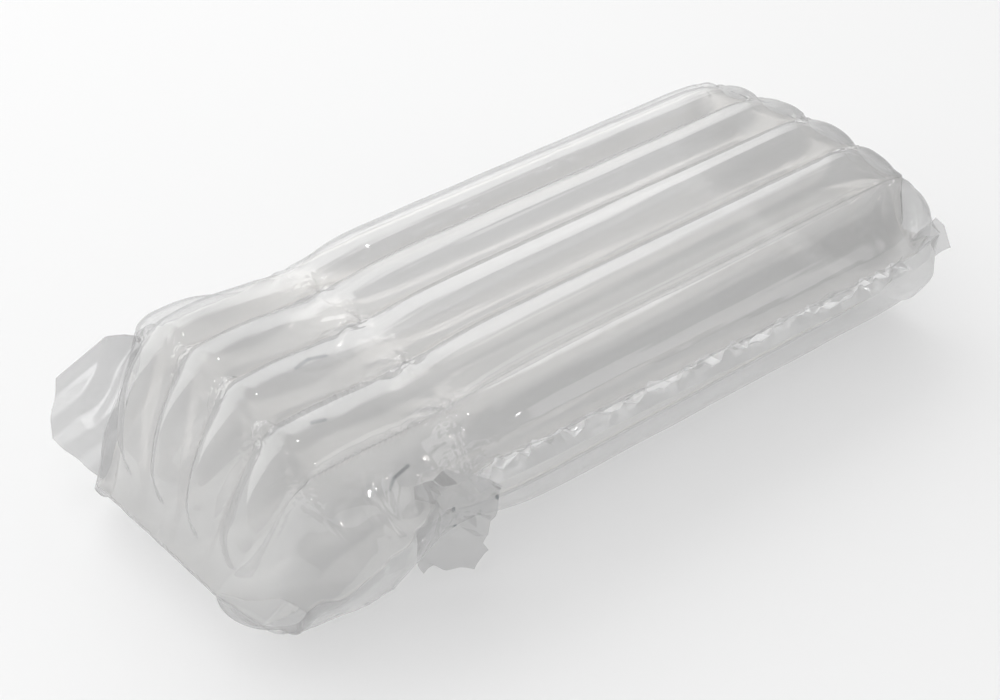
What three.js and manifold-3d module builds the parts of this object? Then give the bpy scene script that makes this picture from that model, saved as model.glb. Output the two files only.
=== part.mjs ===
// Inflated air column bag: two clear film sheets, each welded into six air columns, sealed to each
// other along both sides and boxed at both ends. Millimetres, +Z up, the bag lies on its lower sheet.
// X runs along the columns from the near end (-X), whose head is cinched off by a neck, to the far end.
import * as THREE from 'three';
import { mergeVertices } from 'three/addons/utils/BufferGeometryUtils.js';
import Module from 'manifold-3d';

const wasm = await Module();
wasm.setup();

// Section across the bag, measured between weld lines
const columnPitch = 28; // middle columns of the top and bottom panels
const shoulderPitch = 25; // outer column of the top panel, along Y
const crownDrop = 2; // top welds next to the middle one lie this much lower
const shoulderDrop = 7; // and the shoulder welds of the top panel this much
const panelGap = 71; // between the middle welds of the top and bottom panels
const footFlare = 5; // shoulder welds of the bottom panel stand out this much more at the far end
const footRise = 2; // shoulder welds of the bottom panel above its middle one
const seamRun = 17; // from the top shoulder weld out to the side seam, along Y
const seamDrop = 33; // side seam below the middle weld of the top panel

// Along the bag, measured at the weld lines
const bodyLength = 253; // neck to far edge
const headLength = 54; // near edge to neck
const nearFaceRun = 35; // near fold stands out past the near edge
const nearFaceDrop = 57; // near fold below the middle weld of the top panel
const nearFaceSkew = 3; // near fold stands out this much more at the rear shoulder, less at the front
const nearFoldHalf = 38; // half width between the shoulder welds where they gather at the near fold
const footSetback = 10; // bottom edge of the near face behind its fold
const farFaceRun = 4; // far fold stands out past the far edge
const farFaceDrop = 36; // far fold below the middle weld of the top panel
const farFaceSkew = 3; // far end stands out this much more at the front shoulder, less at the rear
const cornerSetback = 12; // side seams turn this far before the near and far edges
const farFlare = 6; // how far the side seams stand out at the far end
const edgeDip = 3; // how far the top welds sink at the near and far edges
const neckWaist = 4; // how far the side seams draw in at the neck
const neckDip = 3; // how far the top welds sink at the neck
const neckLift = 6; // and the bottom welds rise
const neckReach = 28; // length over which the welds come back to level
const weldRounding = 0.12; // share of a span over which a weld rounds each corner

// Air in the columns: crest heights over the line between two welds, at the five stations along a
// sheet (near fold, near edge, neck, far edge, far fold) and in the four spans between them
const panelCrests = [
  { stations: [0.5, 7, 2, 3, 6], spans: [8, 10.5, 7.2, 7] }, // upper sheet
  { stations: [0.5, 4, 3, 4, 6], spans: [2, 6, 7.2, 6] }, // lower sheet
];
const sideCrests = [
  { stations: [9, 4, 2, 9, 10], spans: [8, 9, 8.5, 10] },
  { stations: [9, 10, 9, 13, 10], spans: [9, 15, 12, 11] },
];
const pinchReach = [20, 14, 15, 16, 20]; // length over which each station's height gives way
const arcHalfAngle = 56 * Math.PI / 180; // half the arc that a crest follows
const restFlat = 1.2; // how far the lowest crests are pressed flat by the floor

// Film that is not blown up: seam fins, corner ears and the far tab
const filmEdge = 0.8; // thickness of sealed, crumpled film
const finWidth = 8;
const finSlope = 25 * Math.PI / 180; // fins hang this far below level
const weldIn = 4; // how far fins, ears and tab reach into the blown-up skin
const earSlope = 34 * Math.PI / 180; // rear ear leans back from upright like the near face
const earTurn = 25 * Math.PI / 180; // front ear swings out from the side
const earSetback = 13; // root of the front ear before the neck
const tabRoot = 12; // length of the far tab inside the far corner

// Outlines of the loose film, as [outward, up] points from each flap's root
const rearEarOutline = [
  [-weldIn, -2], [7, -3], [13, -6], [19, -11], [37, -40], [32, -52], [25, -61], [-weldIn, -56],
];
const frontEarOutline = [
  [-weldIn, 6], [8, 12], [18, 8], [28, 1], [26, -11], [21, -28], [23, -32], [18, -36], [17, -39],
  [5, -36], [2, -34], [-2, -38], [-weldIn, -34],
];
const farTabOutline = [[-tabRoot, 4], [4, 8], [11, 1], [20, -15], [9, -15], [4, -6], [-tabRoot, -6]];

// Grid of the blown-up skin
const stepsAcrossColumn = 8;
const stepsPerSpan = [7, 9, 21, 6]; // near face, head, body, far face

const shoulderY = columnPitch + shoulderPitch;
const seamY = shoulderY + seamRun;
const topZ = panelGap + panelCrests[1].spans[2] - restFlat;
const bottomZ = topZ - panelGap;
const seamZ = topZ - seamDrop;

// Lengthwise lines, from the rear seam over the five welds of a sheet to the front seam
const topY = [seamY, shoulderY, columnPitch, 0, -columnPitch, -shoulderY, -seamY];
const topDrop = [seamDrop, shoulderDrop, crownDrop, 0, crownDrop, shoulderDrop, seamDrop];
const bottomFlare = [0, footFlare, 0, 0, 0, -footFlare, 0];
const bottomRise = [0, footRise, 0, 0, 0, footRise, 0];
const [rearSeam, rearShoulder] = [0, 1];
const frontSeam = topY.length - 1;
const columns = frontSeam;
const [upper, lower] = [0, 1];

// The five stations of a weld along one sheet: near fold, near edge, neck, far edge, far fold.
function weldStations(sheet, line) {
  const share = topY[line] / shoulderY;
  const nearFoldX = -headLength - nearFaceRun - nearFaceSkew * share;
  const farEdgeX = bodyLength - farFaceSkew * share;
  const y = topY[line];
  const farY = sheet === upper ? y : y + bottomFlare[line];
  const z = sheet === upper ? topZ - topDrop[line] : bottomZ + bottomRise[line];
  const edgeZ = sheet === upper ? z - edgeDip : z;
  return [
    new THREE.Vector3(nearFoldX, nearFoldHalf * share, topZ - nearFaceDrop),
    new THREE.Vector3(sheet === upper ? -headLength : nearFoldX + footSetback, y, edgeZ),
    new THREE.Vector3(0, y, z),
    new THREE.Vector3(farEdgeX, farY, edgeZ),
    new THREE.Vector3(farEdgeX + farFaceRun, y + bottomFlare[line] / 2, topZ - farFaceDrop),
  ];
}

// The side seams stop short of the folds, at the corners that the ears and the tab grow from.
function seamStations(line) {
  const y = topY[line];
  const side = Math.sign(y);
  const farEdgeX = bodyLength - farFaceSkew * side;
  return [
    new THREE.Vector3(-headLength - cornerSetback, y - side * neckWaist, topZ - nearFaceDrop),
    new THREE.Vector3(-headLength + cornerSetback, y, topZ - (seamDrop + nearFaceDrop) / 2),
    new THREE.Vector3(0, y - side * neckWaist, seamZ),
    new THREE.Vector3(farEdgeX - cornerSetback, y + side * farFlare, seamZ - edgeDip),
    new THREE.Vector3(farEdgeX + farFaceRun, y, topZ - farFaceDrop),
  ];
}

const isSeam = (line) => line === rearSeam || line === frontSeam;
const stationsOf = [upper, lower].map((sheet) =>
  topY.map((_, line) => (isSeam(line) ? seamStations(line) : weldStations(sheet, line))));
const [nearFold, nearEdge, neck, farEdge, farFold] = [0, 1, 2, 3, 4];
const spanLengths = [Math.hypot(nearFaceRun, nearFaceDrop), headLength, bodyLength, farFaceDrop];

// Share of an effect left at a distance: one at its station, dying away over its reach.
const fade = (distance, reach) => Math.exp(-((distance / reach) ** 2));

// Point at run t (0 near fold to 4 far fold) on a lengthwise line, its corners rounded by parabolas.
function pointOnLine(sheet, line, t) {
  const corners = stationsOf[sheet][line];
  const straight = (run) => {
    const span = Math.min(Math.floor(run), farEdge);
    return corners[span].clone().lerp(corners[span + 1], run - span);
  };
  const corner = Math.round(t);
  const atEnd = corner === nearFold || corner === farFold;
  let point = straight(t);
  if (!atEnd && Math.abs(t - corner) < weldRounding) {
    const [before, after] = [straight(corner - weldRounding), straight(corner + weldRounding)];
    const bend = new THREE.QuadraticBezierCurve3(before, corners[corner], after);
    point = bend.getPoint((t - corner + weldRounding) / (2 * weldRounding));
  }
  if (!isSeam(line)) {
    const fromNeck = Math.abs(t - neck) * (t < neck ? headLength : bodyLength);
    point.z += (sheet === upper ? -neckDip : neckLift) * fade(fromNeck, neckReach);
  }
  return point;
}

// Crest height of one column at run t: its span's height, giving way to each station's close to it.
function crestHeight(sheet, column, t) {
  const atSide = column === 0 || column === columns - 1;
  const { stations, spans } = (atSide ? sideCrests : panelCrests)[sheet];
  const span = Math.min(Math.floor(t), farEdge);
  return [span, span + 1].reduce((height, station) => {
    const distance = Math.abs(t - station) * spanLengths[span];
    return height + (stations[station] - spans[span]) * fade(distance, pinchReach[station]);
  }, spans[span]);
}

// Height across a column as a share of its crest: a circular arc between the two welds.
function arcShare(across) {
  const sine = Math.sin(arcHalfAngle) * (2 * across - 1);
  return (Math.sqrt(1 - sine * sine) - Math.cos(arcHalfAngle)) / (1 - Math.cos(arcHalfAngle));
}

// Crests rise away from a box at the bag's core, so they fan out around its shoulders and ends.
const core = new THREE.Box3(
  new THREE.Vector3(-headLength, -columnPitch, seamZ - neckWaist),
  new THREE.Vector3(bodyLength - columnPitch, columnPitch, seamZ + neckWaist));

// Point of the blown-up skin at run t and at v columns from the rear seam.
function skinPoint(sheet, t, v) {
  const column = Math.min(Math.floor(v), columns - 1);
  const across = v - column;
  const point = pointOnLine(sheet, column, t).lerp(pointOnLine(sheet, column + 1, t), across);
  const outward = point.clone().sub(core.clampPoint(point, new THREE.Vector3())).normalize();
  point.addScaledVector(outward, crestHeight(sheet, column, t) * arcShare(across));
  point.z = Math.max(point.z, 0);
  return point;
}

// Runs at which the skin is sampled, closer together towards the stations at both ends of each span.
const runs = stepsPerSpan.flatMap((steps, span) =>
  Array.from({ length: steps }, (_, i) => span + (1 - Math.cos(Math.PI * i / steps)) / 2)).concat(farFold);

// Closed skin: the lower sheet shares the upper one's vertices along the folds and the side seams.
function blownSkin() {
  const across = columns * stepsAcrossColumn;
  const positions = [];
  const index = [[], []];
  for (const sheet of [upper, lower]) {
    runs.forEach((t, i) => {
      index[sheet][i] = [];
      for (let k = 0; k <= across; k++) {
        const onRim = i === 0 || i === runs.length - 1 || k === 0 || k === across;
        if (sheet === lower && onRim) {
          index[lower][i][k] = index[upper][i][k];
        } else {
          index[sheet][i][k] = positions.length / 3;
          positions.push(...skinPoint(sheet, t, k / stepsAcrossColumn).toArray());
        }
      }
    });
  }
  const triangles = [];
  for (const sheet of [upper, lower]) {
    for (let i = 0; i + 1 < runs.length; i++) {
      for (let k = 0; k < across; k++) {
        const [a, b] = [index[sheet][i][k], index[sheet][i + 1][k]];
        const [c, d] = [index[sheet][i + 1][k + 1], index[sheet][i][k + 1]];
        if (sheet === upper) triangles.push(a, d, c, a, c, b);
        else triangles.push(a, b, c, a, c, d);
      }
    }
  }
  const geometry = new THREE.BufferGeometry();
  geometry.setAttribute('position', new THREE.Float32BufferAttribute(positions, 3));
  geometry.setIndex(triangles);
  return geometry;
}

// Flat film cut to an outline of [outward, up] points, standing in the plane of the two directions.
function filmFlap(outline, origin, outward, up) {
  const shape = new THREE.Shape(outline.map(([x, y]) => new THREE.Vector2(x, y)));
  const geometry = new THREE.ExtrudeGeometry(shape, { depth: filmEdge, bevelEnabled: false });
  geometry.translate(0, 0, -filmEdge / 2);
  const x = outward.clone().normalize();
  const z = x.clone().cross(up).normalize();
  const y = z.clone().cross(x);
  geometry.applyMatrix4(new THREE.Matrix4().makeBasis(x, y, z).setPosition(origin));
  return geometry;
}

// Fin of one side seam: a strip from the neck to the far corner, standing out and hanging a little.
function seamFin(line) {
  const [start, end] = [stationsOf[upper][line][neck], stationsOf[upper][line][farEdge]];
  const out = new THREE.Vector3(0, Math.sign(start.y) * Math.cos(finSlope), -Math.sin(finSlope));
  const length = end.distanceTo(start);
  const outline = [[-weldIn, 0], [finWidth, 0], [finWidth, length], [-weldIn, length]];
  return filmFlap(outline, start, out, end.clone().sub(start));
}

// Rear ear: the film corner left over beside the near face, standing out in the plane of that face.
function rearEar() {
  const shoulder = stationsOf[upper][rearShoulder][nearEdge];
  const root = shoulder.clone().setX(shoulder.x - weldIn);
  const upTheFace = new THREE.Vector3(Math.sin(earSlope), 0, Math.cos(earSlope));
  return filmFlap(rearEarOutline, root, new THREE.Vector3(0, 1, 0), upTheFace);
}

// Front ear: the same corner at the front, folded back along the side and torn along its free edge.
function frontEar() {
  const seam = stationsOf[upper][frontSeam][neck];
  const root = new THREE.Vector3(seam.x - earSetback, seam.y - filmEdge, seam.z);
  const alongSide = new THREE.Vector3(Math.cos(earTurn), -Math.sin(earTurn), 0);
  return filmFlap(frontEarOutline, root, alongSide, new THREE.Vector3(0, 0, 1));
}

// Far tab: the end of the front seam, sticking out past the far face.
function farTab() {
  const corner = stationsOf[upper][frontSeam][farFold];
  return filmFlap(farTabOutline, corner, new THREE.Vector3(1, 0, 0), new THREE.Vector3(0, 0, 1));
}

// Joins closed geometries into one solid and gives it back as one geometry.
function weldTogether(geometries) {
  const solids = geometries.map((geometry) => {
    geometry.deleteAttribute('normal');
    geometry.deleteAttribute('uv');
    const merged = mergeVertices(geometry, 1e-3);
    const vertProperties = new Float32Array(merged.attributes.position.array);
    const triVerts = new Uint32Array(merged.index.array);
    return new wasm.Manifold(new wasm.Mesh({ numProp: 3, vertProperties, triVerts }));
  });
  const mesh = solids.reduce((whole, solid) => whole.add(solid)).getMesh();
  const geometry = new THREE.BufferGeometry();
  geometry.setAttribute('position', new THREE.BufferAttribute(mesh.vertProperties, 3));
  geometry.setIndex(new THREE.BufferAttribute(mesh.triVerts, 1));
  return geometry;
}

const bagGeometry = weldTogether([
  blownSkin(), seamFin(rearSeam), seamFin(frontSeam), rearEar(), frontEar(), farTab(),
]);
bagGeometry.computeVertexNormals();
bagGeometry.computeBoundingBox();

const clearFilm = new THREE.MeshStandardMaterial({
  color: 0xd9dadb, roughness: 0.12, metalness: 0, transparent: true, opacity: 0.45,
});
const bag = new THREE.Mesh(bagGeometry, clearFilm);
bag.name = 'air_column_bag';

// The origin lies on the floor under the middle of the bag's box.
const middle = bagGeometry.boundingBox.getCenter(new THREE.Vector3());
bag.position.set(-middle.x, -middle.y, 0);

const airColumnBag = new THREE.Group();
airColumnBag.add(bag);
export default airColumnBag;
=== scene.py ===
"""Inflated air column bag of clear film on a pale studio floor. Metres, +Z up, in the part's frame."""
import math

import bpy
import numpy as np
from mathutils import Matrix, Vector


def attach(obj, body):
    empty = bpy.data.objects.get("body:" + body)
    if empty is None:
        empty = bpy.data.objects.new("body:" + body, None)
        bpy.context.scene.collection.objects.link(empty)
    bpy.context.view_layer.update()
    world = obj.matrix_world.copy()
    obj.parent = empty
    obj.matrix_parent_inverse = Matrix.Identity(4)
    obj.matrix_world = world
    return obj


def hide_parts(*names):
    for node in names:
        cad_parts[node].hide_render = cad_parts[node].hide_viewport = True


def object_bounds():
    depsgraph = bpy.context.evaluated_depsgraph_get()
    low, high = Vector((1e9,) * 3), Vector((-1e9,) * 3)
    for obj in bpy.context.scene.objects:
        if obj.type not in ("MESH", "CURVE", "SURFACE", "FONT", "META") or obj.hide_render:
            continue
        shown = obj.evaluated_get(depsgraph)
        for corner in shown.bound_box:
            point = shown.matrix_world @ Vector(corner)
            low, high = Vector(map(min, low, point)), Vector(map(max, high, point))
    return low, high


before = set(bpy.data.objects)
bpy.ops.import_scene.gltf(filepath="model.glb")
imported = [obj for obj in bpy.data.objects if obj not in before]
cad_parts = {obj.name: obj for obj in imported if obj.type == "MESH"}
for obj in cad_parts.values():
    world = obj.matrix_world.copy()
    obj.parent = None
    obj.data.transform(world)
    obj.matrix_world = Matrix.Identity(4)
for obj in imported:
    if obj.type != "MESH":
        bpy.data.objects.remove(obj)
solid_low, solid_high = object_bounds()
scene = bpy.context.scene
scene.view_settings.view_transform = "Standard"


# Welds of the two sheets.
# Each sheet is two films welded along five lines into six columns, four on a panel and one down
# each side, and the two sheets are sealed to each other along both sides.
column_pitch = 0.028
shoulder_pitch = 0.025
crown_drop = 0.002
shoulder_drop = 0.007
panel_gap = 0.071
foot_flare = 0.005
foot_rise = 0.002
seam_run = 0.017
seam_drop = 0.033
body_length = 0.253
head_length = 0.054
near_face_run = 0.035
near_face_drop = 0.057
near_face_skew = 0.003
near_fold_half = 0.038
foot_setback = 0.010
far_face_run = 0.004
far_face_drop = 0.036
far_face_skew = 0.003
corner_setback = 0.012
far_flare = 0.006
edge_dip = 0.003
neck_waist = 0.004
neck_dip = 0.003
neck_lift = 0.006
neck_reach = 0.028
weld_rounding = 0.12
lower_crest = 0.0072
rest_flat = 0.0012
ear_reach = 0.037
tab_reach = 0.020

shoulder_y = column_pitch + shoulder_pitch
seam_y = shoulder_y + seam_run
top_z = panel_gap + lower_crest - rest_flat
bottom_z = top_z - panel_gap
seam_z = top_z - seam_drop
line_y = np.array([seam_y, shoulder_y, column_pitch, 0, -column_pitch, -shoulder_y, -seam_y])
line_drop = np.array([seam_drop, shoulder_drop, crown_drop, 0, crown_drop, shoulder_drop, seam_drop])
line_flare = np.array([0, foot_flare, 0, 0, 0, -foot_flare, 0])
line_rise = np.array([0, foot_rise, 0, 0, 0, foot_rise, 0])
rear_seam, rear_shoulder, front_shoulder, front_seam = 0, 1, 5, 6
columns = 6
upper, lower = 0, 1
near_fold, near_edge, neck, far_edge, far_fold = range(5)
span_lengths = [math.hypot(near_face_run, near_face_drop), head_length, body_length, far_face_drop]

# The far tab's tip and the rear ear's tip are the frame's farthest points, so they place the neck.
neck_x = solid_high.x - body_length - far_face_skew - far_face_run - tab_reach
middle_y = solid_high.y - shoulder_y - ear_reach
neck_place = np.array([neck_x, middle_y, 0])


def fade(distance, reach):
    """One at its station, dying away over its reach."""
    return np.exp(-((distance / reach) ** 2))


def weld_stations(sheet, line):
    """Near fold, near edge, neck, far edge and far fold of one weld, from the neck's middle."""
    share = line_y[line] / shoulder_y
    near_fold_x = -head_length - near_face_run - near_face_skew * share
    far_x = body_length - far_face_skew * share
    y = line_y[line]
    if sheet == upper:
        z = top_z - line_drop[line]
        edges = [(-head_length, y, z - edge_dip), (0, y, z), (far_x, y, z - edge_dip)]
    else:
        z = bottom_z + line_rise[line]
        edges = [(near_fold_x + foot_setback, y, z), (0, y, z), (far_x, y + line_flare[line], z)]
    start = (near_fold_x, near_fold_half * share, top_z - near_face_drop)
    end = (far_x + far_face_run, y + line_flare[line] / 2, top_z - far_face_drop)
    return np.array([start, *edges, end])


def seam_stations(line):
    """The side seams stop short of the folds, at the corners that the ears and the tab grow from."""
    y = line_y[line]
    side = math.copysign(1, y)
    far_x = body_length - far_face_skew * side
    return np.array([
        (-head_length - corner_setback, y - side * neck_waist, top_z - near_face_drop),
        (-head_length + corner_setback, y, top_z - (seam_drop + near_face_drop) / 2),
        (0, y - side * neck_waist, seam_z),
        (far_x - corner_setback, y + side * far_flare, seam_z - edge_dip),
        (far_x + far_face_run, y, top_z - far_face_drop),
    ])


def on_line(sheet, line, runs):
    """Points of a weld or seam at runs from 0, the near fold, to 4, the far fold."""
    is_seam = line in (rear_seam, front_seam)
    corners = seam_stations(line) if is_seam else weld_stations(sheet, line)

    def straight(run):
        span = np.minimum(np.floor(run).astype(int), far_edge)
        part = (run - span)[..., None]
        return corners[span] * (1 - part) + corners[span + 1] * part

    points = straight(runs)
    for corner in (near_edge, neck, far_edge):
        bend = np.abs(runs - corner) < weld_rounding
        part = ((runs[bend] - corner) / weld_rounding / 2 + 0.5)[:, None]
        before = straight(np.array([corner - weld_rounding]))
        after = straight(np.array([corner + weld_rounding]))
        curve = before * (1 - part) ** 2 + corners[corner] * 2 * part * (1 - part) + after * part ** 2
        points[bend] = curve
    if not is_seam:
        from_neck = np.abs(runs - neck) * np.where(runs < neck, head_length, body_length)
        points[:, 2] += (-neck_dip if sheet == upper else neck_lift) * fade(from_neck, neck_reach)
    return points


# Outer film, blown up by the air in the columns.
# One closed skin of clear film: it arches from weld to weld, is pinched flat where the columns are
# cinched at the neck and at both edges, and rests flat on the floor along its lowest crests.
# Crest heights at the five stations and in the four spans, for the upper and then for the lower sheet.
panel_crests = [
    ([0.0005, 0.0072, 0.0060, 0.003, 0.006], [0.0115, 0.0088, 0.0072, 0.007]),
    ([0.0005, 0.004, 0.003, 0.004, 0.006], [0.002, 0.006, lower_crest, 0.006]),
]
side_crests = [
    ([0.009, 0.004, 0.002, 0.009, 0.010], [0.008, 0.0095, 0.0108, 0.010]),
    ([0.009, 0.010, 0.009, 0.013, 0.010], [0.009, 0.015, 0.012, 0.011]),
]
rear_crests = [
    ([0.002, 0.0155, -0.0015, 0.009, 0.010], [0.003, 0.0155, 0.0085, 0.010]),
    ([0.002, 0.004, 0.009, 0.013, 0.010], [0.002, 0.012, 0.012, 0.011]),
]
pinch_reach = [0.020, 0.014, 0.022, 0.016, 0.020]
rib_bend = 0.45
rib_start = 0.06
rib_full = 0.50
rib_lean = 1.2
arc_half_angle = math.radians(56)
steps_across = 26
across_crowding = 0.5
# Steps along each span, and how far they crowd towards its ends.
steps_along = [(48, 0.4), (100, 0), (118, 0.6), (28, 0.2)]

core_low = np.array([-head_length, -column_pitch, seam_z - neck_waist])
core_high = np.array([body_length - column_pitch, column_pitch, seam_z + neck_waist])


def crowded(steps, crowding):
    """Steps from 0 up to 1 that lie closer together towards both ends."""
    even = np.arange(steps) / steps
    return even - crowding * np.sin(2 * math.pi * even) / (2 * math.pi)


runs = np.concatenate([span + crowded(*steps) for span, steps in enumerate(steps_along)] + [[far_fold]])
across = np.append(crowded(steps_across, across_crowding), 1)

# Metres along the sheet from the neck, as it was before it was blown up.
flat_stations = np.concatenate([[0], np.cumsum(span_lengths)]) - sum(span_lengths[:neck])
flat_along = np.interp(runs, range(far_fold + 1), flat_stations)


crumple_cells = 64


def crumple(u, v, seed, turns=crumple_cells):
    """Flat facets with sharp ridges between them, one unit across and between -1 and 1 high."""
    heights = np.random.default_rng(seed).uniform(-1, 1, (turns, crumple_cells))
    column, row = np.floor(u).astype(int), np.floor(v).astype(int)
    part_u, part_v = u - column, v - row
    near, right, left, far = (
        heights[(column + i) % turns, (row + j) % crumple_cells] for i, j in ((0, 0), (1, 0), (0, 1), (1, 1)))
    lower_half = near + part_u * (right - near) + part_v * (left - near)
    upper_half = far + (1 - part_u) * (left - far) + (1 - part_v) * (right - far)
    return np.where(part_u + part_v < 1, lower_half, upper_half)


# Creases that run out from the places where the film is gathered: line, metres from the neck, reach, depth.
pinches = [(line, 0.0, 0.0085, 0.0020) for line in range(rear_shoulder, front_shoulder + 1)]
pinches += [(line, body_length, 0.010, 0.0012) for line in range(rear_shoulder, front_shoulder)]
pinches += [
    (front_shoulder, body_length, 0.018, 0.0018),
    (front_shoulder + 0.55, -0.036, 0.012, 0.0012),
    (front_shoulder + 0.30, -0.058, 0.010, 0.0010),
    (front_shoulder + 0.45, 0.001, 0.008, 0.0012),
    (front_shoulder + 0.85, -0.004, 0.012, 0.0014),
    (rear_shoulder - 0.5, 0.0, 0.009, 0.0008),
]
creases_round = 12
pinch_rise = 3
web_height = 0.0040
web_reach = 0.0085
web_facet = 0.0027
web_creases = 0.0018
web_setback = 0.003
web_seed = 80
bead_pitch = 0.0023
bead_height = 0.0011
bead_reach = 0.0013
bead_start = -0.048
bead_end = -0.010
bead_soft = 0.002
pucker_pitch = 0.0042
pucker_height = 0.00016
pucker_reach = 0.003
pucker_seed = 60
neck_pucker = 0.0008
neck_pucker_reach = 0.018
far_pucker_run = 0.035
far_pucker_soft = 0.006
gather_pitch = 0.0045
gather_height = 0.0013
gather_reach = 0.005
gather_start = -0.050
gather_soft = 0.004
gather_seed = 40
# Valleys that the slack film fills on the head: line, where the filling starts and stops, height, reach.
fills = [(front_seam, -0.096, -0.016, 0.0050, 0.008), (rear_shoulder, -0.108, -0.060, 0.0025, 0.006)]
fill_soft = 0.004


def web(along):
    """Height of the slack film that bridges the valleys where the columns turn over the near edge."""
    return web_height * fade(along + head_length + web_setback, web_reach)


def window(value, low, high, soft):
    """One between two limits, and zero outside them."""
    return 1 / (1 + np.exp(-(value - low) / soft)) / (1 + np.exp((value - high) / soft))


def wrinkles(column, along):
    """Heights of all creases on one column's grid, over the smooth film."""
    flat_across = (column + across)[None, :] * column_pitch
    along = along[:, None]
    height = np.zeros((len(along), len(across)))
    for seed, (line, place, reach, depth) in enumerate(pinches):
        sideways = flat_across - line * column_pitch
        distance = np.hypot(along - place, sideways)
        angle = np.arctan2(sideways, along - place)
        spokes = crumple(angle * creases_round / (2 * math.pi), distance / reach, seed, creases_round)
        height += depth * spokes * fade(distance, reach) * np.minimum(1, pinch_rise * distance / reach)
    for line, start, end, depth, reach in fills:
        filled = window(along, start, end, fill_soft)
        height += depth * fade(flat_across - line * column_pitch, reach) * filled
    for line in (column, column + 1):
        distance = np.abs(flat_across - line * column_pitch)
        if line in (rear_seam, front_seam):
            gathers = crumple(
                along / gather_pitch + 0 * distance, distance / gather_reach + line, gather_seed + line)
            on_body = window(along, gather_start, body_length, gather_soft)
            height += gather_height * gathers * np.exp(-distance / gather_reach) * on_body
            continue
        strength = pucker_height + neck_pucker * fade(along, neck_pucker_reach)
        if line in (front_shoulder - 1, front_shoulder):
            at_far_end = window(along, body_length - far_pucker_run, body_length, far_pucker_soft)
            strength += neck_pucker * at_far_end
            beads = np.abs(np.sin(math.pi * along / bead_pitch))
            beads = beads * window(along, bead_start, bead_end, bead_soft)
            height += bead_height * beads * fade(distance, bead_reach)
        puckers = crumple(along / pucker_pitch + 0 * distance, distance / pucker_reach, pucker_seed + line)
        height += strength * puckers * np.exp(-distance / pucker_reach)
    return height


def crest_height(crests, sheet, runs):
    """Height of a column over its welds: its span's height, giving way to the stations' close to them."""
    stations, spans = (np.array(values) for values in crests[sheet])
    span = np.minimum(np.floor(runs).astype(int), far_edge)
    height = spans[span].copy()
    for station in (span, span + 1):
        distance = np.abs(runs - station) * np.array(span_lengths)[span]
        height += (stations[station] - spans[span]) * fade(distance, np.array(pinch_reach)[station])
    return height


def arc_share(across):
    """Height across a column as a share of its crest: a circular arc between the two welds."""
    sine = math.sin(arc_half_angle) * (2 * across - 1)
    return (np.sqrt(1 - sine ** 2) - math.cos(arc_half_angle)) / (1 - math.cos(arc_half_angle))


def ribbed(crests, sheet):
    """Height of the near face's ribs, which bend frontwards and die out towards the near fold."""
    on_face = runs[runs < near_edge][:, None]
    fall = np.clip((1 - on_face) / (1 - rib_start), 0, 1)
    growth = np.clip((on_face - rib_start) / (rib_full - rib_start), 0, 1)
    growth = growth * growth * (3 - 2 * growth)
    lean = 1 + rib_lean * fall
    strips = []
    for column in range(columns):
        place = (column + across)[None, :]
        bent = place - rib_bend * fall ** 2 * np.clip(np.minimum(place, columns - place), 0, 1)
        rib = np.clip(np.floor(bent).astype(int), 0, columns - 1)
        heights = np.stack([crest_height(crest, sheet, runs[runs < near_edge]) for crest in crests])
        height = np.take_along_axis(heights.T, rib, axis=1)
        at_fold = np.array([crest[sheet][0][near_fold] for crest in crests])[rib]
        height = np.where(rib == columns - 1, height, at_fold + growth * (height - at_fold))
        strips.append(height * arc_share((bent - rib) ** lean))
    return strips


uneven_height = 0.007
long_wave = 0.0097
long_phase = 1.7
short_wave = 0.0059
short_phase = 2.9


def blown_film(sheet, panel, rear, front):
    """Grid of points of one film: lines run along the bag, columns of the grid from rear to front."""
    welds = [on_line(sheet, line, runs) for line in range(columns + 1)]
    ribs = ribbed([rear] + [panel] * (columns - 2) + [front], sheet)
    strips = []
    for column in range(columns):
        share = across[None, :, None]
        points = welds[column][:, None] * (1 - share) + welds[column + 1][:, None] * share
        outward = points - np.clip(points, core_low, core_high)
        outward /= np.linalg.norm(outward, axis=2, keepdims=True)
        at_side = column in (0, columns - 1)
        crest = crest_height(rear if column == 0 else front if at_side else panel, sheet, runs)
        unevenness = np.sin(flat_along / long_wave + long_phase * column)
        unevenness = unevenness + np.sin(flat_along / short_wave + short_phase * column)
        height = (crest * (1 + uneven_height * unevenness))[:, None] * arc_share(across)[None, :]
        if sheet == upper:
            height[runs < near_edge] = ribs[column]
        if sheet == upper and not at_side and crest[0] > 0:
            bridge = web(flat_along)[:, None]
            slack = np.clip((bridge - height) / web_creases, 0, 1)
            facets = crumple(
                flat_along[:, None] / web_facet + 0 * height,
                across[None, :] * column_pitch / web_facet + 0 * height, web_seed + column)
            height = np.maximum(height, bridge) + web_creases * facets * slack
        height += wrinkles(column, flat_along)
        points += outward * height[..., None]
        strips.append(points if column == columns - 1 else points[:, :-1])
    grid = np.concatenate(strips, axis=1)
    grid[..., 2] = np.maximum(grid[..., 2], 0)
    return grid + neck_place


# Where the film is gathered into fine crinkles: at the neck, at both edges and beside the front ear.
crinkle_reach = 0.0065
far_crinkle_reach = 0.005
ear_crinkle_reach = 0.011
crinkle_runs = [(near_edge - 0.04, crinkle_reach), (neck, crinkle_reach), (far_edge, far_crinkle_reach)]
gathered_spots = []
for line in range(rear_shoulder, front_shoulder + 1):
    for run, reach in crinkle_runs:
        gathered_spots.append((on_line(upper, line, np.array([run]))[0] + neck_place, reach))
gathered_spots.append((on_line(upper, front_seam, np.array([neck]))[0] + neck_place, ear_crinkle_reach))


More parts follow.
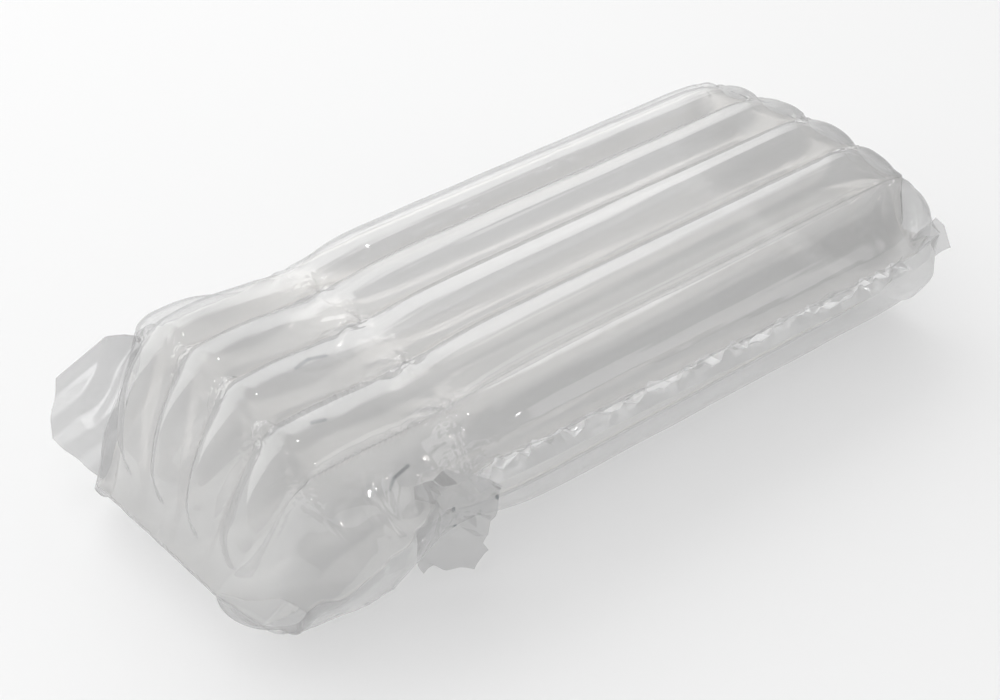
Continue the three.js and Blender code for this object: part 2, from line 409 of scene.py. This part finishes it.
def closed_film(name, top_grid, bottom_grid):
    """One mesh of an upper and a lower grid that share their rims."""
    rows, cols = top_grid.shape[:2]
    top_index = np.arange(rows * cols).reshape(rows, cols)
    bottom_index = top_index.copy()
    inner = (slice(1, -1), slice(1, -1))
    bottom_index[inner] = rows * cols + np.arange((rows - 2) * (cols - 2)).reshape(rows - 2, cols - 2)
    points = np.concatenate([top_grid.reshape(-1, 3), bottom_grid[inner].reshape(-1, 3)])
    top_faces = np.stack(
        [top_index[:-1, :-1], top_index[:-1, 1:], top_index[1:, 1:], top_index[1:, :-1]], axis=-1)
    bottom_faces = np.stack(
        [bottom_index[:-1, :-1], bottom_index[1:, :-1], bottom_index[1:, 1:], bottom_index[:-1, 1:]], axis=-1)
    faces = np.concatenate([top_faces.reshape(-1, 4), bottom_faces.reshape(-1, 4)])
    mesh = bpy.data.meshes.new(name)
    mesh.from_pydata(points.tolist(), [], faces.tolist())
    mesh.polygons.foreach_set("use_smooth", np.ones(len(faces), bool))
    gathered = np.zeros(len(points))
    for spot, reach in gathered_spots:
        gathered = np.maximum(gathered, fade(np.linalg.norm(points - spot, axis=1), reach))
    mesh.attributes.new("gathered", "FLOAT", "POINT").data.foreach_set("value", gathered)
    mesh.update()
    piece = bpy.data.objects.new(name, mesh)
    scene.collection.objects.link(piece)
    return piece


class Shade:
    """A socket of a node tree, used like a number: each operator adds one Math node."""

    def __init__(self, tree, socket=None):
        self.tree = tree
        self.socket = socket

    def node(self, kind, settings=None, sockets=None, output=0):
        """Any other node: its settings first, then the values or links of its sockets."""
        made = self.tree.nodes.new("ShaderNode" + kind)
        for name, value in (settings or {}).items():
            setattr(made, name, value)
        for name, value in (sockets or {}).items():
            if isinstance(value, Shade):
                self.tree.links.new(value.socket, made.inputs[name])
            else:
                made.inputs[name].default_value = value
        return Shade(self.tree, made.outputs[output] if made.outputs else None)

    def math(self, operation, first, second):
        return self.node("Math", {"operation": operation}, {0: first, 1: second})

    def __add__(self, other):
        return self.math("ADD", self, other)

    def __radd__(self, other):
        return self.math("ADD", other, self)

    def __sub__(self, other):
        return self.math("SUBTRACT", self, other)

    def __rsub__(self, other):
        return self.math("SUBTRACT", other, self)

    def __mul__(self, other):
        return self.math("MULTIPLY", self, other)

    def __rmul__(self, other):
        return self.math("MULTIPLY", other, self)

    def __truediv__(self, other):
        return self.math("DIVIDE", self, other)

    def __pow__(self, other):
        return self.math("POWER", self, other)


def new_shader(name):
    """An empty material and the Shade that its nodes are made from."""
    material = bpy.data.materials.new(name)
    material.use_nodes = True
    material.node_tree.nodes.clear()
    return material, Shade(material.node_tree)


def smooth_step(shade, value, low, high):
    """From 0 at low to 1 at high, or the other way round where high is the lower of the two."""
    return shade.node("MapRange", {"interpolation_type": "SMOOTHSTEP"}, {
        "Value": value, "From Min": low, "From Max": high, "To Min": 0.0, "To Max": 1.0})


ink_colour = (0.10, 0.13, 0.15)
ink_cover = 0.55
ink_width = 0.0011
ink_core = 0.3


def on_stroke(shade, place, start, end):
    """One on a thin dark stroke between two points, zero off it."""
    start, run = neck_place + start, np.subtract(end, start)
    offset = shade.node("VectorMath", {"operation": "SUBTRACT"}, {0: place, 1: start})
    part = shade.node("VectorMath", {"operation": "DOT_PRODUCT"}, {0: offset, 1: run / (run @ run)}, "Value")
    on_run = shade.node("Clamp", None, {"Value": part})
    nearest = shade.node("VectorMath", {"operation": "SCALE"}, {0: run, "Scale": on_run})
    distance = shade.node("VectorMath", {"operation": "DISTANCE"}, {0: offset, 1: nearest}, "Value")
    return smooth_step(shade, distance, ink_width, ink_core * ink_width)


# Where the film changes: the head's end and top and the far cap along the bag, and the low part of
# the near face, where the sheets lie double, under a line that falls with it. Across the bag, the
# front side's clear film passes less light, which is painted shade.
head_end = (-0.02, 0.01)
head_top = (-0.070, -0.050)
far_cap = (0.006, -0.006)
shaded_front_side = (-0.048, -0.064)
doubled_fall = 0.8
doubled_part = (-0.014, -0.046)
doubled_haze = 0.12
doubled_roughness = 0.16
slant_haze = 0.5
slant_mirror = 0.3
# Shares of its light that clear film still passes there, and at a slant.
head_share = 0.91
far_share = 0.66
# The front side's share is painted shade: it darkens that side of the bag.
front_shade_share = 0.935
slant_share = 0.78
shadow_share = 0.985
streak_pitch = (14, 420, 420)
streak_height = 0.00018
crinkle_pitch = 0.0034
crinkle_height = 0.0022


def clear_film(name, haze, head_haze, tint, milk_grey, mirror, gloss_colour, roughness, strokes=()):
    """Clear film: it reflects at both faces, more at a slant, scatters a little light and passes the rest.

    The valve films inside the head make it cloudier there, and it hardly stops light on its way down."""
    material, shade = new_shader(name)

    def passing(share):
        """Clear film that passes a share of the light that its tint lets through."""
        level = tint * share
        return shade.node("BsdfTransparent", None, {"Color": (level, level, level, 1)})

    slant = shade.node("LayerWeight", None, {"Blend": 0.5}, "Facing")
    place = shade.node("TexCoord", None, None, "Object")
    lengthwise, sideways, upwards = (
        shade.node("SeparateXYZ", None, {"Vector": place}, axis) for axis in "XYZ")
    past_head = smooth_step(shade, lengthwise, *(neck_x + bound for bound in head_end))
    before_cap = smooth_step(shade, lengthwise, *(neck_x + body_length + bound for bound in far_cap))
    on_top = smooth_step(shade, lengthwise, *(neck_x + bound for bound in head_top))
    shaded_front = smooth_step(shade, sideways, *(middle_y + bound for bound in shaded_front_side))
    doubled_line = doubled_fall * neck_x
    doubled = smooth_step(
        shade, upwards + doubled_fall * lengthwise, *(doubled_line + bound for bound in doubled_part))
    cloud = head_haze + (haze - head_haze) * past_head * before_cap + doubled_haze * doubled
    hazy = cloud + (1 - cloud) * slant_haze * slant ** 3
    reflects = mirror + slant_mirror * slant ** 2.5
    stretched = shade.node("VectorMath", {"operation": "MULTIPLY"}, {0: place, 1: streak_pitch})
    streaks = shade.node("TexNoise", None, {"Vector": stretched, "Scale": 1.0, "Detail": 0.0})
    creases = shade.node("TexNoise", None, {"Vector": place, "Scale": 1 / crinkle_pitch, "Detail": 0.0})
    ridges = shade.node("Math", {"operation": "ABSOLUTE"}, {0: creases - 0.5})
    gathered = shade.node("Attribute", {"attribute_name": "gathered"}, None, "Fac")
    relief = streak_height * past_head * streaks + crinkle_height * gathered * ridges
    ripple = shade.node("Bump", None, {"Strength": 1.0, "Distance": 1.0, "Height": relief})
    clear = shade.node("MixShader", None, {0: before_cap, 1: passing(far_share), 2: passing(1)})
    clear = shade.node("MixShader", None, {0: (1 - past_head) * on_top, 1: clear, 2: passing(head_share)})
    # Painted shade: the clear film on the front side passes less light.
    clear = shade.node("MixShader", None, {0: shaded_front, 1: clear, 2: passing(front_shade_share)})
    clear = shade.node("MixShader", None, {0: slant ** 3, 1: clear, 2: passing(slant_share)})
    grey = (milk_grey, milk_grey, milk_grey, 1)
    thrown_back = shade.node("BsdfDiffuse", None, {"Color": grey})
    passed_on = shade.node("BsdfTranslucent", None, {"Color": grey})
    milk = shade.node("MixShader", None, {0: 0.5, 1: thrown_back, 2: passed_on})
    gloss = shade.node("BsdfAnisotropic", None, {
        "Color": (*gloss_colour, 1), "Roughness": roughness + doubled_roughness * doubled, "Normal": ripple})
    inside = shade.node("MixShader", None, {0: hazy, 1: clear, 2: milk})
    film = shade.node("MixShader", None, {0: reflects, 1: inside, 2: gloss})
    ink = shade.node("BsdfDiffuse", None, {"Color": (*ink_colour, 1)})
    for stroke in strokes:
        for start, end in zip(stroke, stroke[1:]):
            covered = ink_cover * on_stroke(shade, place, start, end)
            film = shade.node("MixShader", None, {0: covered, 1: film, 2: ink})
    shadow = shade.node("LightPath", None, None, "Is Shadow Ray")
    unstopped = (shadow_share, shadow_share, shadow_share, 1)
    lit_through = shade.node("BsdfTransparent", None, {"Color": unstopped})
    film = shade.node("MixShader", None, {0: shadow, 1: film, 2: lit_through})
    shade.node("OutputMaterial", None, {"Surface": film})
    return material


skin = closed_film(
    "outer_film", *(blown_film(sheet, panel_crests, rear_crests, side_crests) for sheet in (upper, lower)))
skin.data.materials.append(clear_film(
    "clear_outer_film", haze=0.06, head_haze=0.16, tint=0.935, milk_grey=0.60, mirror=0.07,
    gloss_colour=(1, 1, 1), roughness=0.08))
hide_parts("air_column_bag")
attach(skin, "root")


# Inner film, the other half of every column, of the same clear film.
# It is welded to the outer film along the same lines and bulges into the pocket between the sheets.
panel_troughs = [
    ([-0.0005, -0.002, -0.002, -0.003, -0.006], [-0.001, -0.006, -0.009, -0.006]),
    ([-0.0005, -0.004, -0.003, -0.004, -0.006], [-0.004, -0.006, -0.0105, -0.006]),
]
side_troughs = [
    ([-0.004, -0.004, -0.002, -0.006, -0.006], [-0.006, -0.008, -0.0095, -0.006]),
    ([-0.004, -0.004, -0.003, -0.006, -0.006], [-0.006, -0.008, -0.0095, -0.006]),
]
lining = closed_film(
    "inner_film", *(blown_film(sheet, panel_troughs, side_troughs, side_troughs) for sheet in (upper, lower)))
# Each column's air valve carries a short printed stroke, of which three show through.
valve_strokes = [
    [(-0.025, -0.0045, 0.0713), (-0.019, -0.0035, 0.0715), (-0.0125, -0.0055, 0.0713)],
    [(-0.024, -0.0585, 0.0460), (-0.019, -0.0560, 0.0502), (-0.013, -0.0562, 0.0527)],
    [(-0.036, -0.0313, 0.0690), (-0.031, -0.0318, 0.0680)],
]
lining.data.materials.append(clear_film(
    "clear_inner_film", haze=0.32, head_haze=0.46, tint=0.94, milk_grey=0.84, mirror=0.08,
    gloss_colour=(1, 0.96, 0.9), roughness=0.085, strokes=valve_strokes))
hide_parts("air_column_bag")
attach(lining, "root")


# Seam fins, the flat margins outside both side seams.
# The two sheets are sealed to each other here, and the seal draws up the film into short gathers.
fin_width = 0.008
fin_slope = math.radians(25)
weld_in = 0.004
fin_taper = 0.030
fin_steps_along = 420
fin_steps_across = 18
fin_facet = 0.005
fin_seed = 90
fin_gathers = 0.0013
fin_gather_reach = 0.006
droop_height = 0.0005
droop_waves = (0.0081, 0.0133)
hem_tilt = math.radians(27)
hem_facet = 0.0045
hem_creases = 0.0033
hem_lean = 0.6
hem_rise = 0.001
hem_seed = 95
# Rows of the pattern of creases that the fin and its hem start from.
fin_row = 3
hem_row = 9


def open_film(name, grid):
    """One mesh of a grid of points."""
    rows, cols = grid.shape[:2]
    index = np.arange(rows * cols).reshape(rows, cols)
    faces = np.stack([index[:-1, :-1], index[:-1, 1:], index[1:, 1:], index[1:, :-1]], axis=-1).reshape(-1, 4)
    mesh = bpy.data.meshes.new(name)
    mesh.from_pydata(grid.reshape(-1, 3).tolist(), [], faces.tolist())
    mesh.polygons.foreach_set("use_smooth", np.ones(len(faces), bool))
    mesh.update()
    piece = bpy.data.objects.new(name, mesh)
    scene.collection.objects.link(piece)
    return piece


def seam_fin(name, line):
    """Fin of one side seam: it hangs outwards, and its root is turned up into a crumpled hem."""
    side = math.copysign(1, line_y[line])
    fin_runs = np.linspace(neck, far_edge, fin_steps_along)
    root = on_line(upper, line, fin_runs)
    along = (fin_runs - neck) * body_length
    out = np.array([0, side * math.cos(fin_slope), -math.sin(fin_slope)])
    over = np.array([0, side * math.sin(fin_slope), math.cos(fin_slope)])
    reach = np.linspace(-weld_in, fin_width, fin_steps_across)
    taper = np.clip((body_length - along) / fin_taper, 0, 1)[:, None, None]
    hem_up = np.array([0, side * math.sin(hem_tilt), math.cos(hem_tilt)])
    hem_out = np.array([0, side * math.cos(hem_tilt), -math.sin(hem_tilt)])
    hem = np.maximum(-reach, 0)[None, :, None]
    grid = root[:, None] + taper * (np.maximum(reach, 0)[None, :, None] * out + hem * hem_up)
    gathers = crumple(
        along[:, None] / gather_pitch + 0 * reach, reach[None, :] / fin_facet + fin_row + 0 * along[:, None],
        fin_seed + line)
    droop = np.sin(along / droop_waves[0]) + np.sin(along / droop_waves[1] + 1)
    lift = fin_gathers * gathers * np.exp(-np.maximum(reach, 0) / fin_gather_reach)[None, :]
    lift = lift + droop_height * droop[:, None] * (np.maximum(reach, 0) / fin_width)[None, :]
    creases = crumple(
        along[:, None] / hem_facet + 0 * reach, reach[None, :] / hem_facet + hem_row + 0 * along[:, None],
        hem_seed + line)
    grid = grid + lift[..., None] * over
    hem_push = hem_creases * (hem_lean + creases) * np.minimum(1, hem[..., 0] / hem_rise)
    grid = grid + hem_push[..., None] * hem_out
    return open_film(name, grid + neck_place)


fin_film = clear_film(
    "clear_fin_film", haze=0.50, head_haze=0.50, tint=0.97, milk_grey=0.92, mirror=0.36,
    gloss_colour=(1, 1, 1), roughness=0.09)
for name, line in (("rear_seam_fin", rear_seam), ("front_seam_fin", front_seam)):
    fin = seam_fin(name, line)
    fin.data.materials.append(fin_film)
    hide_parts("air_column_bag")
    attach(fin, "root")


# Rear ear, the corner of film left over beside the near face.
# It stands out flat in the plane of that face, with long soft folds.
ear_slope = math.radians(34)
flap_cell = 8
fold_turn = math.radians(32)
fold_height = 0.0005
ear_rib = 0.007
ear_rib_width = 0.018
ear_rib_length = 0.045
rear_ear_root = [(-weld_in, -0.002), (-0.016, -0.056)]
rear_ear_rim = [
    (0.007, -0.003), (0.013, -0.006), (0.019, -0.011), (0.037, -0.040), (0.032, -0.052), (0.025, -0.061)]


def along_edge(corners, steps):
    """Points at even steps along an edge given by its corners, with every corner kept."""
    corners = np.array(corners)
    lengths = np.linalg.norm(np.diff(corners, axis=0), axis=1)
    at_corners = np.concatenate([[0], np.cumsum(lengths)]) / lengths.sum()
    parts = np.linspace(0, 1, steps)
    nearest = [np.argmin(np.abs(parts - corner)) for corner in at_corners]
    parts[nearest] = at_corners
    return np.stack([np.interp(parts, at_corners, corners[:, axis]) for axis in (0, 1)], axis=-1)


def flap(name, first_edge, second_edge, root, outward, up, steps, facet, depth, seed, fold_pitch=0):
    """Film between two edges of [outward, up] points, creased out of its plane, and its flat area."""
    rows, cols = steps
    share = np.linspace(0, 1, cols)[None, :, None]
    first, second = (along_edge(edge, rows)[:, None] for edge in (first_edge, second_edge))
    flat = first * (1 - share) + second * share
    over = np.cross(outward, up)
    lift = depth * crumple(flat[..., 0] / facet + flap_cell, flat[..., 1] / facet + flap_cell, seed)
    if fold_pitch:
        inward = flat @ np.array([math.cos(fold_turn), math.sin(fold_turn)])
        lift = lift + fold_height * np.sin(2 * math.pi * inward / fold_pitch)
        rib = np.sin(math.pi * np.clip(flat[..., 0] / ear_rib_width, 0, 1)) ** 2
        lift = lift + ear_rib * rib * np.clip(1 + flat[..., 1] / ear_rib_length, 0, 1)
    grid = root + flat[..., :1] * outward + flat[..., 1:] * up + lift[..., None] * over
    corners = np.array(list(first_edge) + list(second_edge)[::-1])
    following = np.roll(corners, -1, axis=0)
    area = abs(np.sum(corners[:, 0] * following[:, 1] - corners[:, 1] * following[:, 0])) / 2
    return open_film(name, grid + neck_place), area


shoulder_corner = weld_stations(upper, rear_shoulder)[near_edge]
rear_ear, rear_ear_area = flap(
    "rear_ear", rear_ear_root, rear_ear_rim, root=shoulder_corner - np.array([weld_in, 0, 0]),
    outward=np.array([0, 1, 0]), up=np.array([math.sin(ear_slope), 0, math.cos(ear_slope)]), steps=(90, 50),
    facet=0.02, depth=0.0004, seed=101, fold_pitch=0.015)
ear_film = clear_film(
    "clear_ear_film", haze=0.36, head_haze=0.36, tint=0.73, milk_grey=0.58, mirror=0.10,
    gloss_colour=(1, 1, 1), roughness=0.085)
rear_ear.data.materials.append(ear_film)
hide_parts("air_column_bag")
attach(rear_ear, "root")


# Front ear, the same corner at the front, folded back along the side seam.
# Its free edge is torn, and it is crumpled where it was folded.
ear_turn = math.radians(25)
ear_setback = 0.013
ear_clearance = 0.0008
front_ear_root = [(-weld_in, 0.006), (-weld_in, -0.034)]
front_ear_rim = [
    (0.008, 0.012), (0.018, 0.008), (0.028, 0.001), (0.026, -0.011), (0.021, -0.028), (0.023, -0.032),
    (0.018, -0.036), (0.017, -0.039), (0.005, -0.036), (0.002, -0.034), (-0.002, -0.038)]
front_ear, front_ear_area = flap(
    "front_ear", front_ear_root, front_ear_rim,
    root=seam_stations(front_seam)[neck] - np.array([ear_setback, ear_clearance, 0]),
    outward=np.array([math.cos(ear_turn), -math.sin(ear_turn), 0]), up=np.array([0, 0, 1]), steps=(110, 50),
    facet=0.006, depth=0.0020, seed=111)
# Small dark specks sit in its creases.
specks = [
    [(-0.0039, -0.0706, 0.0375), (-0.0038, -0.0706, 0.0355)],
    [(-0.0033, -0.0707, 0.0275), (-0.0033, -0.0707, 0.0268)],
    [(0.0053, -0.0749, 0.0430), (0.0053, -0.0749, 0.0412)],
    [(0.0045, -0.0757, 0.0337), (0.0045, -0.0757, 0.0334)],
    [(0.0109, -0.0776, 0.0392), (0.0109, -0.0776, 0.0386)],
]
front_ear.data.materials.append(clear_film(
    "clear_front_ear_film", haze=0.30, head_haze=0.30, tint=0.70, milk_grey=0.50, mirror=0.16,
    gloss_colour=(1, 1, 1), roughness=0.085, strokes=specks))
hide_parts("air_column_bag")
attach(front_ear, "root")


# Far tab, the end of the front seam, which sticks out past the far face.
# It is both sheets of film sealed flat on each other and cut at a slant, with shallow creases.
tab_root = 0.012
tab_top = [(-tab_root, 0.004), (0.004, 0.008), (0.011, 0.001), (0.020, -0.015)]
tab_bottom = [(-tab_root, -0.006), (0.004, -0.006), (0.009, -0.015)]
far_tab, far_tab_area = flap(
    "far_tab", tab_top, tab_bottom, root=seam_stations(front_seam)[far_fold], outward=np.array([1, 0, 0]),
    up=np.array([0, 0, 1]), steps=(60, 20), facet=0.006, depth=0.0006, seed=121)
far_tab.data.materials.append(ear_film)
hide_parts("air_column_bag")
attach(far_tab, "root")


# Studio that the bag lies in: a matt pale floor under an even white room.
# The room is brighter towards the rear, with one large soft light at the right rear, a bright horizon
# at the left rear and a low light in front, which all show in the film's gloss.
floor_half = 20
floor_gap = 0.0005
floor_mesh = bpy.data.meshes.new("floor")
floor_mesh.from_pydata(
    [(-floor_half, -floor_half, 0), (floor_half, -floor_half, 0), (floor_half, floor_half, 0),
     (-floor_half, floor_half, 0)], [], [(0, 1, 2, 3)])
floor = bpy.data.objects.new("floor", floor_mesh)
floor.location.z = -floor_gap
scene.collection.objects.link(floor)
floor_material, shade = new_shader("pale_floor")
surface = shade.node("BsdfPrincipled", None, {
    "Base Color": (0.85, 0.85, 0.85, 1), "Roughness": 0.9, "Specular IOR Level": 0.0})
shade.node("OutputMaterial", None, {"Surface": surface})
floor_mesh.materials.append(floor_material)

world = bpy.data.worlds.new("studio")
world.use_nodes = True
world.node_tree.nodes.clear()
scene.world = world
shade = Shade(world.node_tree)
direction = shade.node("TexCoord", None, None, "Generated")
towards_right, towards_rear, height = (
    shade.node("SeparateXYZ", None, {"Vector": direction}, axis) for axis in "XYZ")
level = (1 - height * height) ** 0.5


def turned(angle):
    """Sine of a direction's angle anticlockwise from a bearing in the floor plane."""
    bearing = math.radians(angle)
    return (math.cos(bearing) * towards_rear - math.sin(bearing) * towards_right) / level


def lit(right, left, *heights):
    """One inside a soft-edged light: two bearings, each with its soft edge, and edges in height."""
    inside = smooth_step(shade, turned(right[0]), *right[1]) * smooth_step(shade, turned(left[0]), *left[1])
    for edge in heights:
        inside = inside * smooth_step(shade, height, *edge)
    return inside


room_light = 0.42
rear_light = 0.30
softbox_light = 1.8
horizon_light = 1.4
front_light = 0.9
rearwards = smooth_step(shade, towards_rear, -0.4, 0.5)
softbox = lit((36, (-0.05, 0.14)), (95, (0, -0.2)), (0.90, 0.74))
softbox_rise = 0.5 + 0.5 * smooth_step(shade, height, 0, 0.6)
horizon = lit((88, (-0.1, 0.1)), (138, (0, -0.05)), (0.85, 0.6))
front = lit((-80, (0, 0.1)), (-42, (0, -0.1)), (0.08, 0.14), (0.5, 0.42))
strength = room_light + rear_light * rearwards + softbox * softbox_light * softbox_rise
strength = strength + horizon_light * horizon + front_light * front
background = shade.node("Background", None, {"Color": (1, 1, 1, 1), "Strength": strength})
shade.node("OutputWorld", None, {"Surface": background})

# A wide key lamp behind and a wide fill at the left, which only light the floor and the haze in the film,
# and two small lamps that leave glints on the columns.
for name, width, energy, place, target, glints in (
        ("soft_key", 1.6, 16, (0.4, 1.8, 1.5), (0.1, 0.5, 0), False),
        ("left_fill", 1.2, 3.6, (-1.3, -0.1, 0.8), (-0.15, 0, 0), False),
        ("front_spark", 0.06, 0.4, (0.05, -1.18, 0.62), (0, 0, 0.05), True),
        ("rear_spark", 0.08, 0.5, (-0.15, 0.35, 1.4), (0, 0, 0.05), True)):
    lamp_data = bpy.data.lights.new(name, "AREA")
    lamp_data.size = width
    lamp_data.energy = energy
    lamp = bpy.data.objects.new(name, lamp_data)
    lamp.location = place
    lamp.rotation_euler = (Vector(place) - Vector(target)).to_track_quat("Z", "Y").to_euler()
    lamp.visible_glossy = glints
    scene.collection.objects.link(lamp)

camera_data = bpy.data.cameras.new("camera")
camera_data.lens = 58.28
camera_data.sensor_width = 36
camera = bpy.data.objects.new("camera", camera_data)
camera.location = neck_place + np.array([-0.2542, -0.4083, 0.4494])
camera.rotation_euler = (math.radians(51.1), 0, math.radians(-38.86))
scene.collection.objects.link(camera)
scene.camera = camera
scene.cycles.transparent_max_bounces = 32
scene.cycles.caustics_reflective = False
